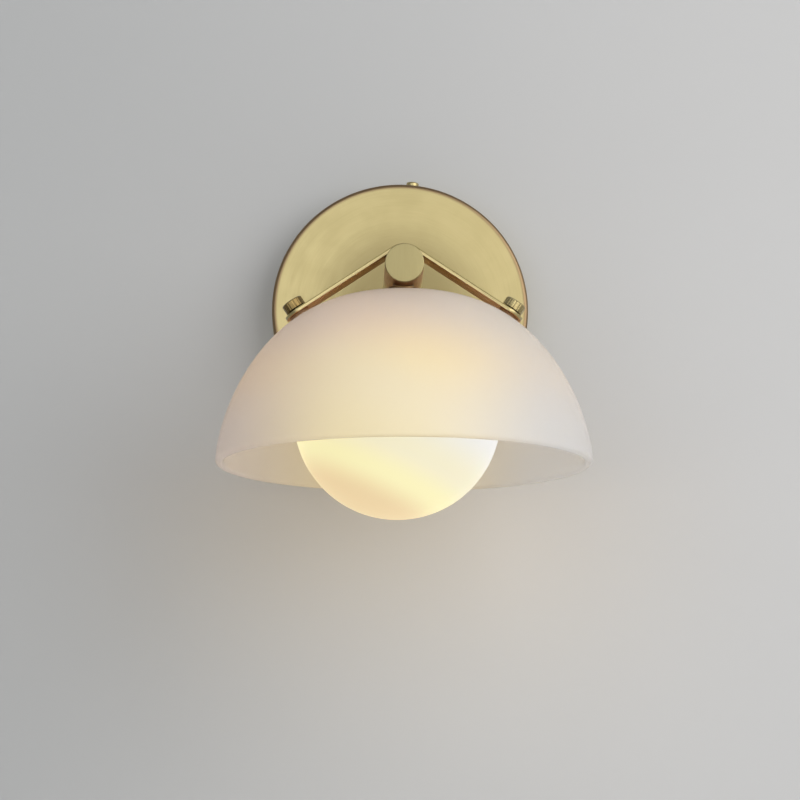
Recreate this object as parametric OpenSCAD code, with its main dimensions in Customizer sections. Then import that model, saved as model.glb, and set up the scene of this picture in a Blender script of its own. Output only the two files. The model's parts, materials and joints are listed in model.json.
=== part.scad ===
// Wall sconce: a round canopy, a straight arm, a bent strap that carries a downward glass dome,
// and an opal globe on a lamp holder under the arm.
// Frame: the origin is on the wall, in the middle of the canopy. +X is to the viewer's right,
// +Y goes into the wall and +Z is up, so every piece lies at y <= 0.

/* [Canopy] */
// Diameter of the round canopy
canopy_d = 127; // [110:1:140]
// Depth of the canopy, from the wall to its face
canopy_depth = 22; // [20:0.5:26]
// Thickness of the canopy's sheet
canopy_wall = 1.2; // [0.8:0.1:1.6]
// Rounding of the canopy's front edge
canopy_edge = 1.8; // [1.3:0.1:3]
// Turn of the two side screws, clockwise from the vertical as seen from the front
screw_turn = 5.6; // [0:0.1:12]
// Distance of the side screws from the wall
side_screw_out = 12; // [10:0.5:13]

/* [Wall plate] */
// Diameter of the steel wall plate
plate_d = 112; // [104:1:114]
// Thickness of the wall plate
plate_t = 1.6; // [1.2:0.1:2]
// Distance between the two box screw slots
slot_spacing = 88.9; // [83:0.1:90]
// Length of each slot, end to end
slot_length = 14; // [8:0.5:16]
// Width of each slot
slot_width = 5; // [4.4:0.1:5.4]
// Diameter of the opening for the supply cable
cable_opening_d = 32; // [22:1:36]

/* [Arm] */
// Diameter of the arm
arm_d = 18.4; // [18:0.1:19]
// Wall of the arm's tube
arm_wall = 1.2; // [1:0.1:1.3]
// Distance from the wall to the arm's front face
arm_reach = 145; // [135:1:160]
// Distance from the arm's front face back to the shade's axis
shade_setback = 17; // [16:0.5:20]

/* [Strap] */
// Width of the flat strap
strap_w = 16.5; // [15:0.5:18]
// Thickness of the strap
strap_t = 1.7; // [1.6:0.1:2.4]
// Angle that each strap arm falls below the horizontal
strap_fall = 33.4; // [32:0.1:35]
// Distance from the middle to each screw hole, on the strap's underside
stud_x = 49.4; // [48.5:0.1:51]

/* [Shade] */
// Radius of the shade at its rim
shade_r = 88.7; // [85:0.1:92]
// Height of the shade, from the lip's lower edge to the apex
shade_h = 82; // [80:0.5:84]
// Depth of the shade's lip below the arm's axis
rim_z = 93.7; // [93:0.1:95]
// Thickness of the shade's glass
shade_glass = 4; // [3.5:0.1:4.2]

/* [Globe and stem] */
// Radius of the opal globe
globe_r = 48.8; // [47:0.1:50]
// Distance from the arm's axis down to the globe's centre
globe_drop = 70.6; // [70:0.1:72]
// Thickness of the globe's glass
globe_glass = 3; // [2:0.1:3.5]
// Lean of the stem about the arm's axis, clockwise from the front
stem_lean = 2.6; // [0:0.1:4]

/* [Hidden] */

// Fineness of the curves
$fn = 96;
brass = [0.80, 0.73, 0.52];
dark_brass = [0.55, 0.42, 0.24];
zinc = [0.70, 0.71, 0.72];
opal = [0.96, 0.93, 0.84];
frosted = [0.87, 0.82, 0.75];
brown_rubber = [0.32, 0.21, 0.13];
clear_silicone = [0.80, 0.80, 0.78];
ceramic = [0.93, 0.92, 0.88];
earth_green = [0.25, 0.55, 0.30];
live_black = [0.12, 0.12, 0.12];
neutral_white = [0.90, 0.90, 0.90];
connector_orange = [0.85, 0.55, 0.20];

// A cut starts and ends this far outside the solid that it cuts
past = 0.1;
// Play between a turned shaft and the hole that it turns in
running = 0.05;
// Play round a thread that passes through a plain hole
slip = 0.15;
// Gap between faces that lie on each other
snug = 0.02;

canopy_r = canopy_d / 2;
canopy_inner_r = canopy_r - canopy_wall;
shade_out = arm_reach - shade_setback;

// Side screws and the wall plate's tabs that they thread into
m4_r = 2;
tab_w = 15;
tab_gap = 0.7;
tab_past_screw = 5;
tab_root = 6;
tab_face_r = canopy_inner_r - tab_gap;
tab_reach = side_screw_out + tab_past_screw;
tab_root_r = plate_d / 2 - tab_root;
side_head_r = 3.1;
side_head_h = 3;
side_head_round = 0.9;
side_shank = 7;
screw_slot_w = 1;
screw_slot_depth = 1.1;

// Earthing screw on the wall plate
ground_x = -30;
ground_z = -26;
ground_head_r = 4.2;
ground_head_h = 3;

// Threaded tube, nuts and washer that hold the arm on the canopy
m10_r = 5;
nipple_bore_r = 3.5;
m10_nut_r = 8.1;
lock_nut_t = 3;
lock_washer_t = 1;
lock_washer_r = 9;
nipple_tail = 2;
nipple_in_arm = 10;
lock_washer_rear = canopy_depth - canopy_wall - lock_washer_t;
lock_nut_rear = lock_washer_rear - lock_nut_t;
nipple_rear = lock_nut_rear - nipple_tail;
nipple_front = canopy_depth + nipple_in_arm;
bush_length = 14;

// Arm tube, its end cap and the block inside it
arm_r = arm_d / 2;
arm_bore_r = arm_r - arm_wall;
cap_t = 2;
cap_edge = 0.6;
cap_spigot = 4;
cap_wall = 1.5;
block_half = 10.5;
block_r = arm_bore_r - snug;
wire_bore_r = 3.5;

// Strap: its inner face lies on the arm, and a stud goes through each end
strap_in_r = arm_r + snug;
strap_out_r = strap_in_r + strap_t;
strap_run = (stud_x - strap_in_r * sin(strap_fall)) / cos(strap_fall);
strap_hole_r = 2.4;
strap_end_back = 1.5;
crown_overlap = 0.3;
yoke_head_r = 3.2;
yoke_head_h = 1.05;
yoke_head_sink = 0.6;
yoke_head_top = strap_out_r - yoke_head_sink;
yoke_slot_depth = 0.7;
yoke_screw_foot = 4.4;

// Shade: both faces are superellipses turned about the shade's axis
lip_r = shade_glass / 2;
dome_base_z = -rim_z + lip_r;
dome_height = shade_h - lip_r;
apex_z = dome_base_z + dome_height;
crown_power = 2.6;
side_power = 1.55;
profile_steps = 36;
lip_steps = 12;
apex_hole_r = 6.5;
stud_hole_r = 3.5;

// Fittings on each stud, as distances along it from the strap's underside
thumb_washer_r = 3.8;
thumb_washer_t = 0.64;
thumb_seat = strap_t + thumb_washer_t + 3 * snug;
thumb_r = 5.15;
thumb_h = 4.6;
thumb_edge = 0.45;
thumb_facets = 12;
thumb_corner_r = thumb_r / cos(180 / thumb_facets);
thumb_groove_r = 0.35;
seal_r = 5;
seal_bore_r = 2.3;
grommet_r = stud_hole_r - running;
grommet_bore_r = 2.15;
outer_seal_h = 4;
inner_seal_at = -7.4;
inner_seal_h = 4;
grommet_top = -2.4;
shade_nut_t = 3.2;
shade_nut_r = 4.04;
stud_tip = 0.8;
stud_end = inner_seal_at - shade_nut_t - stud_tip;

// Stem, as distances below the arm's axis
stem_top = 4;
stem_bottom = 26;
top_washer_r = 6.8;
top_washer_sink = 1;
inner_washer_r = 8;
apex_washer_t = 1.3;
stem_nut_top = rim_z - shade_h + shade_glass + apex_washer_t;
stem_nut_t = 3;
cup_top = stem_nut_top + stem_nut_t;
cup_wall = 1.5;
cup_edge = 1.2;
cup_r = 24;
cup_bore_r = cup_r - cup_wall;
cup_foot = 27.3;

// Globe: a sphere with a short neck, and the threaded collar round the neck
neck_r = 20.9;
neck_bore_r = neck_r - globe_glass;
gasket_t = 1.3;
gasket_r = neck_r + 1;
gasket_bore_r = neck_bore_r + 0.5;
gasket_gap = 0.1;
gasket_top = cup_top + cup_wall + gasket_gap;
neck_top = gasket_top + gasket_t + gasket_gap;
collar_foot = 26.4;
collar_play = 0.08;
collar_r = cup_bore_r - collar_play;

// Lamp holder and lamp
holder_r = 10;
holder_cap_top = cup_top + cup_wall;
holder_cap_h = 6;
holder_cap_wall = 1.5;
holder_cap_recess = 2;
holder_body_top = holder_cap_top + holder_cap_h;
holder_body_h = 18;
holder_foot = holder_body_top + holder_body_h;
pin_x = 4.5;
pin_r = 0.7;
pin_length = 8;
pin_root = 3;
pin_hole_r = 1.2;
contact_gap = 0.08;
contact_t = 0.5;
contact_w = 3;
contact_foot = 2.5;
chamber = [3.2, 4, 10];
chamber_foot = 2;
lamp_base_r = 7.6;
lamp_base_h = 11;
lamp_r = 8;
lamp_h = 38;
lamp_wall = 0.8;
lamp_gap = 0.3;
lamp_base_top = holder_foot + lamp_gap;
lamp_top = lamp_base_top + lamp_base_h;
board = [9, 1.2, 28];
chip = [2.4, 0.8, 2.4];
chip_rows = 4;
chip_spacing = 5.6;

// Wires
lead_r = 1;
lead_x = 1.2;
lead_sides = 8;
connector_r = 5;
connector_tip_r = 3.4;
connector_h = 15;
connector_z = 24;
connector_out = 8;
connector_mouth_r = 2.6;
connector_mouth = 4;
lead_grip = 6;
live_x = 24;
neutral_x = -12;
earth_x = -30;
lead_ease = 30;
lead_bend_steps = 10;
lead_arm_steps = 4;
lead_arm_end = shade_out - 2 * block_half;
lead_elbow = 3.4;
lead_elbow_steps = 4;
lead_drops = [5, 12, 20];

// Places its children out from the wall: local z runs towards the viewer, local y is up.
module facing(out) translate([0, -out, 0]) rotate([90, 0, 0]) children();

// Places its children on the stem: local z runs along the leaning stem, with 0 on the arm's axis.
module leaning() translate([0, -shade_out, 0]) rotate([0, stem_lean, 0]) children();

// Places its children on the shade's upright axis.
module upright() translate([0, -shade_out, 0]) children();

// Places its children on a stud: local z runs outwards, with 0 on the strap's underside.
module at_stud(side) {
    mirror([side < 0 ? 1 : 0, 0, 0])
        rotate([0, strap_fall, 0])
            translate([strap_run, -shade_out, strap_in_r])
                children();
}

// Places its children at the upper or lower side screw: local z runs out from the canopy's centre.
module at_side_screw(lower) {
    translate([0, -side_screw_out, 0])
        rotate([0, screw_turn + (lower ? 180 : 0), 0])
            children();
}

module ring(outer_r, inner_r, h) {
    difference() {
        cylinder(r = outer_r, h = h);
        translate([0, 0, -past]) cylinder(r = inner_r, h = h + 2 * past);
    }
}

// A disc profile, as radius and height, whose upper outer edge is rounded.
module rounded_profile(r, h, edge) {
    square([r - edge, h]);
    square([r, h - edge]);
    translate([r - edge, h - edge]) circle(edge, $fn = 48);
}

module hex_nut(corner_r, bore_r, h) {
    difference() {
        cylinder(r = corner_r, h = h, $fn = 6);
        translate([0, 0, -past]) cylinder(r = bore_r, h = h + 2 * past);
    }
}

// A wire swept along points. No stretch of it runs along X, so X serves as the rings' reference.
module lead(points, r) {
    n = len(points);
    tangents = [for (i = [0:n - 1]) points[min(i + 1, n - 1)] - points[max(i - 1, 0)]];
    rings = [
        for (i = [0:n - 1])
            let (t = tangents[i] / norm(tangents[i]), c = cross(t, [1, 0, 0]))
            let (u = c / norm(c), v = cross(t, u))
                for (k = [0:lead_sides - 1])
                    points[i] + r * (cos(360 * k / lead_sides) * u + sin(360 * k / lead_sides) * v)
    ];
    sides = [
        for (i = [0:n - 2], k = [0:lead_sides - 1])
            let (a = i * lead_sides + k, b = i * lead_sides + (k + 1) % lead_sides)
                [a, b, b + lead_sides, a + lead_sides]
    ];
    start = [for (k = [lead_sides - 1:-1:0]) k];
    end = [for (k = [0:lead_sides - 1]) (n - 1) * lead_sides + k];
    polyhedron(rings, concat([start], sides, [end]), convexity = 4);
}

// Points of a smooth curve with the given ends and end directions.
function curve(p0, d0, p1, d1, n) = [
    for (i = [0:n])
        let (s = i / n, h = s * s * (3 - 2 * s))
            p0 * (1 - h) + p1 * h + d0 * (s * (1 - s) * (1 - s)) - d1 * (s * s * (1 - s))
];

// A point of the stem's own frame, in the shared frame.
function on_stem(x, y, below) = [
    x * cos(stem_lean) - below * sin(stem_lean),
    y - shade_out,
    -x * sin(stem_lean) - below * cos(stem_lean)
];

// Radius and height of the dome's face at a profile angle, for the given radius and height.
function dome_point(r, h, angle) = [
    r * pow(cos(angle), 2 / crown_power),
    h * pow(sin(angle), 2 / side_power)
];

// One face of the dome, from its base almost up to the axis.
function dome_face(r, h) = [
    for (i = [0:profile_steps - 1]) dome_point(r, h, 90 * i / profile_steps)
];

// Turns the dome's outline about its axis. The start of the turn faces the wall, clear of the stud holes.
module turned_dome() translate([0, 0, dome_base_z]) rotate(90) rotate_extrude() children();

// Everything below one face of the dome, down to its base.
module dome_solid(r, h) turned_dome() polygon(concat([[0, 0]], dome_face(r, h), [[0, h]]));

module wall_plate() {
    color(zinc) difference() {
        union() {
            facing(0) cylinder(d = plate_d, h = plate_t);
            for (lower = [false, true]) at_side_screw(lower) {
                translate([-tab_w / 2, side_screw_out - plate_t, tab_root_r])
                    cube([tab_w, plate_t, tab_face_r - tab_root_r]);
                translate([-tab_w / 2, side_screw_out - tab_reach, tab_face_r - plate_t])
                    cube([tab_w, tab_reach, plate_t]);
            }
        }
        facing(-past) cylinder(d = cable_opening_d, h = plate_t + 2 * past);
        for (side = [-1, 1]) translate([side * slot_spacing / 2, 0, 0]) facing(-past)
            linear_extrude(plate_t + 2 * past) {
                half_run = (slot_length - slot_width) / 2;
                square([2 * half_run, slot_width], center = true);
                for (end = [-1, 1]) translate([end * half_run, 0]) circle(d = slot_width);
            }
        translate([ground_x, 0, ground_z]) facing(-past)
            cylinder(r = m4_r + running, h = plate_t + 2 * past);
        for (lower = [false, true]) at_side_screw(lower)
            translate([0, 0, tab_face_r - 2 * plate_t]) cylinder(r = m4_r + running, h = 3 * plate_t);
    }
}

module ground_screw() {
    color(earth_green) translate([ground_x, 0, ground_z]) facing(0) difference() {
        union() {
            cylinder(r = m4_r, h = plate_t + past);
            translate([0, 0, plate_t]) cylinder(r = ground_head_r, h = ground_head_h, $fn = 6);
        }
        translate([-screw_slot_w / 2, -ground_head_r, plate_t + ground_head_h - screw_slot_depth])
            cube([screw_slot_w, 2 * ground_head_r, 2 * screw_slot_depth]);
    }
}

module canopy() {
    color(brass) difference() {
        facing(0) rotate_extrude() difference() {
            rounded_profile(canopy_r, canopy_depth, canopy_edge);
            translate([0, -past]) rounded_profile(
                canopy_inner_r,
                canopy_depth - canopy_wall + past,
                canopy_edge - canopy_wall
            );
        }
        facing(canopy_depth - 2 * canopy_wall) cylinder(r = m10_r + slip, h = 3 * canopy_wall);
        for (lower = [false, true]) at_side_screw(lower)
            translate([0, 0, canopy_r - 2 * canopy_wall]) cylinder(r = m4_r + 2 * slip, h = 3 * canopy_wall);
    }
}

module canopy_screw(lower) {
    color(brass) at_side_screw(lower) difference() {
        union() {
            translate([0, 0, canopy_r + side_head_h])
                mirror([0, 0, 1]) cylinder(r = m4_r, h = side_head_h + side_shank);
            translate([0, 0, canopy_r + running])
                rotate_extrude() rounded_profile(side_head_r, side_head_h - running, side_head_round);
        }
        translate([-side_head_r, -screw_slot_w / 2, canopy_r + side_head_h - screw_slot_depth])
            cube([2 * side_head_r, screw_slot_w, 2 * screw_slot_depth]);
    }
}

module canopy_screw_upper() canopy_screw(false);
module canopy_screw_lower() canopy_screw(true);

module arm_nipple() {
    color(zinc) facing(nipple_rear) ring(m10_r, nipple_bore_r, nipple_front - nipple_rear);
}

module canopy_lock_washer() {
    color(zinc) facing(lock_washer_rear) ring(lock_washer_r, m10_r + slip, lock_washer_t);
}

module canopy_lock_nut() {
    color(zinc) facing(lock_nut_rear) hex_nut(m10_nut_r, m10_r, lock_nut_t);
}

module arm_rear_bush() {
    color(dark_brass) facing(canopy_depth) ring(arm_bore_r, m10_r, bush_length);
}

module arm_tube() {
    color(brass) difference() {
        facing(canopy_depth) ring(arm_r, arm_bore_r, arm_reach - cap_t - canopy_depth);
        leaning() {
            translate([0, 0, -arm_r - past]) cylinder(r = m10_r + slip, h = arm_r);
            cylinder(r = m4_r + slip, h = arm_r + past);
        }
    }
}

module arm_end_cap() {
    color(brass) {
        facing(arm_reach - cap_t - cap_spigot) ring(arm_bore_r, arm_bore_r - cap_wall, cap_spigot + past);
        facing(arm_reach - cap_t) cylinder(r = arm_r, h = cap_t - cap_edge);
        facing(arm_reach - cap_edge) cylinder(r1 = arm_r, r2 = arm_r - cap_edge, h = cap_edge);
    }
}

module stem_block() {
    color(dark_brass) difference() {
        facing(shade_out - block_half) cylinder(r = block_r, h = 2 * block_half);
        facing(shade_out - block_half - past) cylinder(r = wire_bore_r, h = block_half + wire_bore_r);
        leaning() {
            translate([0, 0, -arm_r]) cylinder(r = m10_r, h = arm_r - stem_top);
            translate([0, 0, -stem_top - past]) cylinder(r = wire_bore_r, h = stem_top + past);
            cylinder(r = m4_r, h = arm_r);
        }
    }
}

module yoke_strap() {
    color(brass) difference() {
        union() {
            intersection() {
                facing(shade_out - strap_w / 2) ring(strap_out_r, strap_in_r, strap_w);
                facing(shade_out - strap_w) linear_extrude(2 * strap_w)
                    polygon([
                        [0, 0],
                        2 * strap_out_r * [sin(strap_fall), cos(strap_fall)],
                        2 * strap_out_r * [-sin(strap_fall), cos(strap_fall)]
                    ]);
            }
            for (side = [-1, 1]) at_stud(side) linear_extrude(strap_t) {
                translate([-strap_run - crown_overlap, -strap_w / 2])
                    square([strap_run + crown_overlap - strap_end_back, strap_w]);
                translate([-strap_end_back, 0]) circle(d = strap_w);
            }
        }
        for (side = [-1, 1]) at_stud(side)
            translate([0, 0, -past]) cylinder(r = strap_hole_r, h = strap_t + 2 * past);
        leaning() {
            cylinder(r = strap_hole_r, h = yoke_head_top);
            yoke_head(snug);
            translate([0, 0, yoke_head_top - snug]) cylinder(r = yoke_head_r + snug, h = strap_t);
        }
    }
}

// The countersunk head of the strap's screw, with some play round it.
module yoke_head(play) {
    translate([0, 0, yoke_head_top - yoke_head_h])
        cylinder(r1 = m4_r + play, r2 = yoke_head_r + play, h = yoke_head_h);
}

module yoke_screw() {
    color(brass) leaning() difference() {
        union() {
            translate([0, 0, yoke_screw_foot]) cylinder(r = m4_r, h = yoke_head_top - yoke_screw_foot - snug);
            yoke_head(0);
        }
        translate([-yoke_head_r - past, -screw_slot_w / 2, yoke_head_top - yoke_slot_depth])
            cube([2 * (yoke_head_r + past), screw_slot_w, 2 * yoke_slot_depth]);
    }
}

module stem_nipple() {
    color(zinc) leaning() translate([0, 0, -stem_bottom]) ring(m10_r, nipple_bore_r, stem_bottom - stem_top);
}

module shade_top_washer() {
    color(dark_brass) difference() {
        leaning() translate([0, 0, apex_z - top_washer_sink])
            ring(top_washer_r, m10_r, -apex_z - arm_r + top_washer_sink - running);
        upright() dome_solid(shade_r, dome_height);
    }
}

module shade() {
    color(frosted) difference() {
        upright() turned_dome() polygon(concat(
            [[0, dome_height]],
            [for (i = [1:profile_steps]) dome_face(shade_r, dome_height)[profile_steps - i]],
            [
                for (a = [180 / lip_steps:180 / lip_steps:179])
                    [shade_r - lip_r + lip_r * cos(a), -lip_r * sin(a)]
            ],
            dome_face(shade_r - shade_glass, dome_height - shade_glass),
            [[0, dome_height - shade_glass]]
        ));
        upright() translate([0, 0, apex_z - 2 * shade_glass])
            cylinder(r = apex_hole_r, h = 3 * shade_glass);
        for (side = [-1, 1]) at_stud(side)
            translate([0, 0, 2 * inner_seal_at]) cylinder(r = stud_hole_r, h = -2 * inner_seal_at);
    }
}

module shade_inner_washer() {
    color(clear_silicone) intersection() {
        leaning() translate([0, 0, -stem_nut_top]) ring(inner_washer_r, m10_r, 2 * apex_washer_t);
        upright() dome_solid(shade_r - shade_glass, dome_height - shade_glass);
    }
}

module stem_lock_nut() {
    color(zinc) leaning() translate([0, 0, -cup_top]) hex_nut(m10_nut_r, m10_r, stem_nut_t);
}

module thumbscrew(side) {
    color(brass) at_stud(side) {
        translate([0, 0, stud_end]) cylinder(r = m4_r, h = thumb_seat - stud_end + past);
        translate([0, 0, thumb_seat]) difference() {
            intersection() {
                rotate(180 / thumb_facets) cylinder(r = thumb_corner_r, h = thumb_h, $fn = thumb_facets);
                union() {
                    cylinder(r1 = thumb_r - thumb_edge, r2 = thumb_r + thumb_edge, h = 2 * thumb_edge);
                    translate([0, 0, 2 * thumb_edge])
                        cylinder(r = thumb_r + thumb_edge, h = thumb_h - 4 * thumb_edge);
                    translate([0, 0, thumb_h - 2 * thumb_edge])
                        cylinder(r1 = thumb_r + thumb_edge, r2 = thumb_r - thumb_edge, h = 2 * thumb_edge);
                }
            }
            for (i = [0:thumb_facets - 1]) rotate((i + 0.5) * 360 / thumb_facets)
                translate([thumb_corner_r, 0, -past])
                    cylinder(r = thumb_groove_r, h = thumb_h + 2 * past, $fn = 16);
        }
    }
}

module thumb_washer(side) {
    color(dark_brass) at_stud(side) translate([0, 0, strap_t + snug])
        ring(thumb_washer_r, m4_r + running, thumb_washer_t);
}

module outer_seal(side) {
    color(brown_rubber) difference() {
        at_stud(side) translate([0, 0, -outer_seal_h]) ring(seal_r, seal_bore_r, outer_seal_h);
        upright() dome_solid(shade_r, dome_height);
    }
}

module grommet(side) {
    color(clear_silicone) at_stud(side) translate([0, 0, inner_seal_at])
        ring(grommet_r, grommet_bore_r, grommet_top - inner_seal_at);
}

module inner_seal(side) {
    color(brown_rubber) intersection() {
        at_stud(side) translate([0, 0, inner_seal_at]) ring(seal_r, grommet_r, inner_seal_h);
        upright() dome_solid(shade_r - shade_glass, dome_height - shade_glass);
    }
}

module shade_nut(side) {
    color(brass) at_stud(side) translate([0, 0, inner_seal_at - shade_nut_t])
        hex_nut(shade_nut_r, m4_r + running, shade_nut_t);
}

module left_thumbscrew() thumbscrew(-1);
module right_thumbscrew() thumbscrew(1);
module left_thumb_washer() thumb_washer(-1);
module right_thumb_washer() thumb_washer(1);
module left_outer_seal() outer_seal(-1);
module right_outer_seal() outer_seal(1);
module left_grommet() grommet(-1);
module right_grommet() grommet(1);
module left_inner_seal() inner_seal(-1);
module right_inner_seal() inner_seal(1);
module left_shade_nut() shade_nut(-1);
module right_shade_nut() shade_nut(1);

module globe_cup() {
    color(brass) leaning() difference() {
        translate([0, 0, -cup_foot]) rotate_extrude() rounded_profile(cup_r, cup_foot - cup_top, cup_edge);
        translate([0, 0, -cup_foot - past])
            cylinder(r = cup_bore_r, h = cup_foot - cup_top - cup_wall + past);
        translate([0, 0, -cup_foot]) cylinder(r = m10_r, h = cup_foot);
    }
}

module globe_gasket() {
    color(clear_silicone) leaning() translate([0, 0, -gasket_top - gasket_t])
        ring(gasket_r, gasket_bore_r, gasket_t);
}

module globe_collar() {
    color(zinc) leaning() translate([0, 0, -collar_foot]) ring(collar_r, neck_r, collar_foot - neck_top);
}

module globe() {
    color(opal) leaning() difference() {
        union() {
            translate([0, 0, -globe_drop]) sphere(globe_r);
            translate([0, 0, -globe_drop]) cylinder(r = neck_r, h = globe_drop - neck_top);
        }
        translate([0, 0, -globe_drop]) sphere(globe_r - globe_glass);
        translate([0, 0, -globe_drop]) cylinder(r = neck_bore_r, h = globe_drop);
    }
}

module socket_cap() {
    color(zinc) leaning() translate([0, 0, -holder_body_top]) difference() {
        cylinder(r = holder_r, h = holder_cap_h);
        translate([0, 0, -past]) cylinder(r = holder_r - holder_cap_wall, h = holder_cap_recess);
        translate([0, 0, -past]) cylinder(r = m10_r, h = holder_cap_h + 2 * past);
    }
}

module socket_body() {
    color(ceramic) leaning() translate([0, 0, -holder_foot]) difference() {
        cylinder(r = holder_r, h = holder_body_h);
        for (side = [-1, 1]) translate([side * pin_x, 0, 0]) {
            translate([0, 0, -past]) cylinder(r = pin_hole_r, h = chamber_foot + 2 * past);
            translate([-chamber.x / 2, -chamber.y / 2, chamber_foot]) cube(chamber);
        }
    }
}

module socket_contacts() {
    color(dark_brass) leaning() translate([0, 0, -holder_foot + contact_foot])
        for (side = [-1, 1], jaw = [-1, 1])
            translate([side * pin_x + jaw * (pin_r + contact_gap + contact_t / 2), 0, pin_length / 2])
                cube([contact_t, contact_w, pin_length], center = true);
}

module bulb_base() {
    color(ceramic) leaning() translate([0, 0, -lamp_top]) difference() {
        cylinder(r = lamp_base_r, h = lamp_base_h);
        for (side = [-1, 1]) translate([side * pin_x, 0, lamp_base_h - pin_root])
            cylinder(r = pin_r, h = pin_root + past);
    }
}

module bulb_pins() {
    color(zinc) leaning() for (side = [-1, 1]) translate([side * pin_x, 0, -lamp_base_top]) {
        translate([0, 0, -pin_root]) cylinder(r = pin_r, h = pin_root + pin_length - pin_r);
        translate([0, 0, pin_length - pin_r]) sphere(pin_r, $fn = 24);
    }
}

module bulb_envelope() {
    color(opal) leaning() translate([0, 0, -lamp_top]) difference() {
        union() {
            translate([0, 0, -lamp_h + lamp_r]) cylinder(r = lamp_r, h = lamp_h - lamp_r);
            translate([0, 0, -lamp_h + lamp_r]) sphere(lamp_r);
        }
        translate([0, 0, -lamp_h + lamp_r]) cylinder(r = lamp_r - lamp_wall, h = lamp_h);
        translate([0, 0, -lamp_h + lamp_r]) sphere(lamp_r - lamp_wall);
    }
}

module bulb_led_board() {
    color(zinc) leaning() translate([0, 0, -lamp_top - board.z]) {
        translate([-board.x / 2, -board.y / 2, 0]) cube(board);
        for (face = [-1, 1], row = [1:chip_rows]) translate([0, face * board.y / 2, row * chip_spacing])
            cube(chip, center = true);
    }
}

// Route of a supply lead: from its connector, through the arm and the block, down to the holder.
function supply_route(start_x, side) = concat(
    [[start_x, -connector_out, connector_z + lead_grip]],
    curve(
        [start_x, -connector_out, connector_z], [0, 0, -lead_ease],
        [side * lead_x, -nipple_rear + nipple_tail, 0], [0, -lead_ease, 0], lead_bend_steps
    ),
    [
        for (i = [0:lead_arm_steps])
            [side * lead_x, -nipple_rear - (lead_arm_end - nipple_rear) * i / lead_arm_steps, 0]
    ],
    [
        for (i = [0:lead_elbow_steps - 1]) let (a = 90 * i / lead_elbow_steps)
            [side * lead_x, -shade_out + lead_elbow * (1 - sin(a)), -lead_elbow * (1 - cos(a))]
    ],
    [for (below = concat(lead_drops, holder_body_top)) on_stem(side * lead_x, 0, below)]
);

module live_lead() color(live_black) lead(supply_route(live_x, 1), lead_r);
module neutral_lead() color(neutral_white) lead(supply_route(neutral_x, -1), lead_r);

// The earth lead runs from the earthing screw's flat side up to its connector.
module ground_lead() {
    color(earth_green) lead(
        concat(
            curve(
                [ground_x, -plate_t - lead_r - slip, ground_z + ground_head_r * cos(30) + past],
                [0, 0, lead_ease],
                [earth_x, -connector_out, connector_z], [0, 0, lead_ease], lead_bend_steps
            ),
            [[earth_x, -connector_out, connector_z + lead_grip]]
        ),
        lead_r
    );
}

module wire_connectors() {
    color(connector_orange) for (x = [live_x, neutral_x, earth_x])
        translate([x, -connector_out, connector_z - connector_mouth])
            difference() {
                cylinder(r1 = connector_r, r2 = connector_tip_r, h = connector_h);
                translate([0, 0, -past]) cylinder(r = connector_mouth_r, h = connector_mouth + past);
                cylinder(r = lead_r, h = connector_mouth + lead_grip);
            }
}

wall_plate();
ground_screw();
canopy();
canopy_screw_upper();
canopy_screw_lower();
arm_nipple();
canopy_lock_washer();
canopy_lock_nut();
arm_rear_bush();
arm_tube();
arm_end_cap();
stem_block();
yoke_strap();
yoke_screw();
stem_nipple();
shade_top_washer();
shade();
shade_inner_washer();
stem_lock_nut();
left_thumbscrew();
right_thumbscrew();
left_thumb_washer();
right_thumb_washer();
left_outer_seal();
right_outer_seal();
left_grommet();
right_grommet();
left_inner_seal();
right_inner_seal();
left_shade_nut();
right_shade_nut();
globe_cup();
globe_gasket();
globe_collar();
globe();
socket_cap();
socket_body();
socket_contacts();
bulb_base();
bulb_pins();
bulb_envelope();
bulb_led_board();
live_lead();
neutral_lead();
ground_lead();
wire_connectors();
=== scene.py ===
"""Wall sconce with a brass canopy, arm and strap, a frosted glass dome and an opal globe.

Every piece is in metres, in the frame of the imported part: the origin is on the wall in the middle of the
canopy, +X is to the viewer's right, +Y goes into the wall and +Z is up.
"""

import json
import logging
import math
from collections.abc import Sequence
from dataclasses import dataclass
from enum import Enum

import bmesh
import bpy
from mathutils import Matrix, Vector

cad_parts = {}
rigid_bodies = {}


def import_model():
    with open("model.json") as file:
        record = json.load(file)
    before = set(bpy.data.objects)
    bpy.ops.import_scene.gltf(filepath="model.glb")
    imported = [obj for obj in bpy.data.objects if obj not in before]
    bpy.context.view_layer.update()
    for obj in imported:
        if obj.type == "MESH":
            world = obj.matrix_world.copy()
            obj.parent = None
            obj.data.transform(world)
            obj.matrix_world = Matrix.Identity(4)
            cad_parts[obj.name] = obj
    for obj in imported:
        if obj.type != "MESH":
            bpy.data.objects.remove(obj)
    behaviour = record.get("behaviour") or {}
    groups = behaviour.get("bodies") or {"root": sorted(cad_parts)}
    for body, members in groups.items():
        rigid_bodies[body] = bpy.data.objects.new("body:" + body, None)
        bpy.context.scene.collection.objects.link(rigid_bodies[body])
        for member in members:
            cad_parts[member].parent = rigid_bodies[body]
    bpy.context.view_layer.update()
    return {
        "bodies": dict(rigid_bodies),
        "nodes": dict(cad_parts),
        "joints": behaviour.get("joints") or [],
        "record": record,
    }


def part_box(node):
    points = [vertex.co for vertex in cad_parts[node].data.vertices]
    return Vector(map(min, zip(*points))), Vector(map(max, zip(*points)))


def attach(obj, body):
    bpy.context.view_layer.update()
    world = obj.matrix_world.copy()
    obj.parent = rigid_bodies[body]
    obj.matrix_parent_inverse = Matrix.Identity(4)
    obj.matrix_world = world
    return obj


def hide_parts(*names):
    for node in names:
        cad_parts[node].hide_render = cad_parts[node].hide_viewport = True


LOG = logging.getLogger("sconce")
MM = 0.001
FULL_TURN = 2 * math.pi
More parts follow.
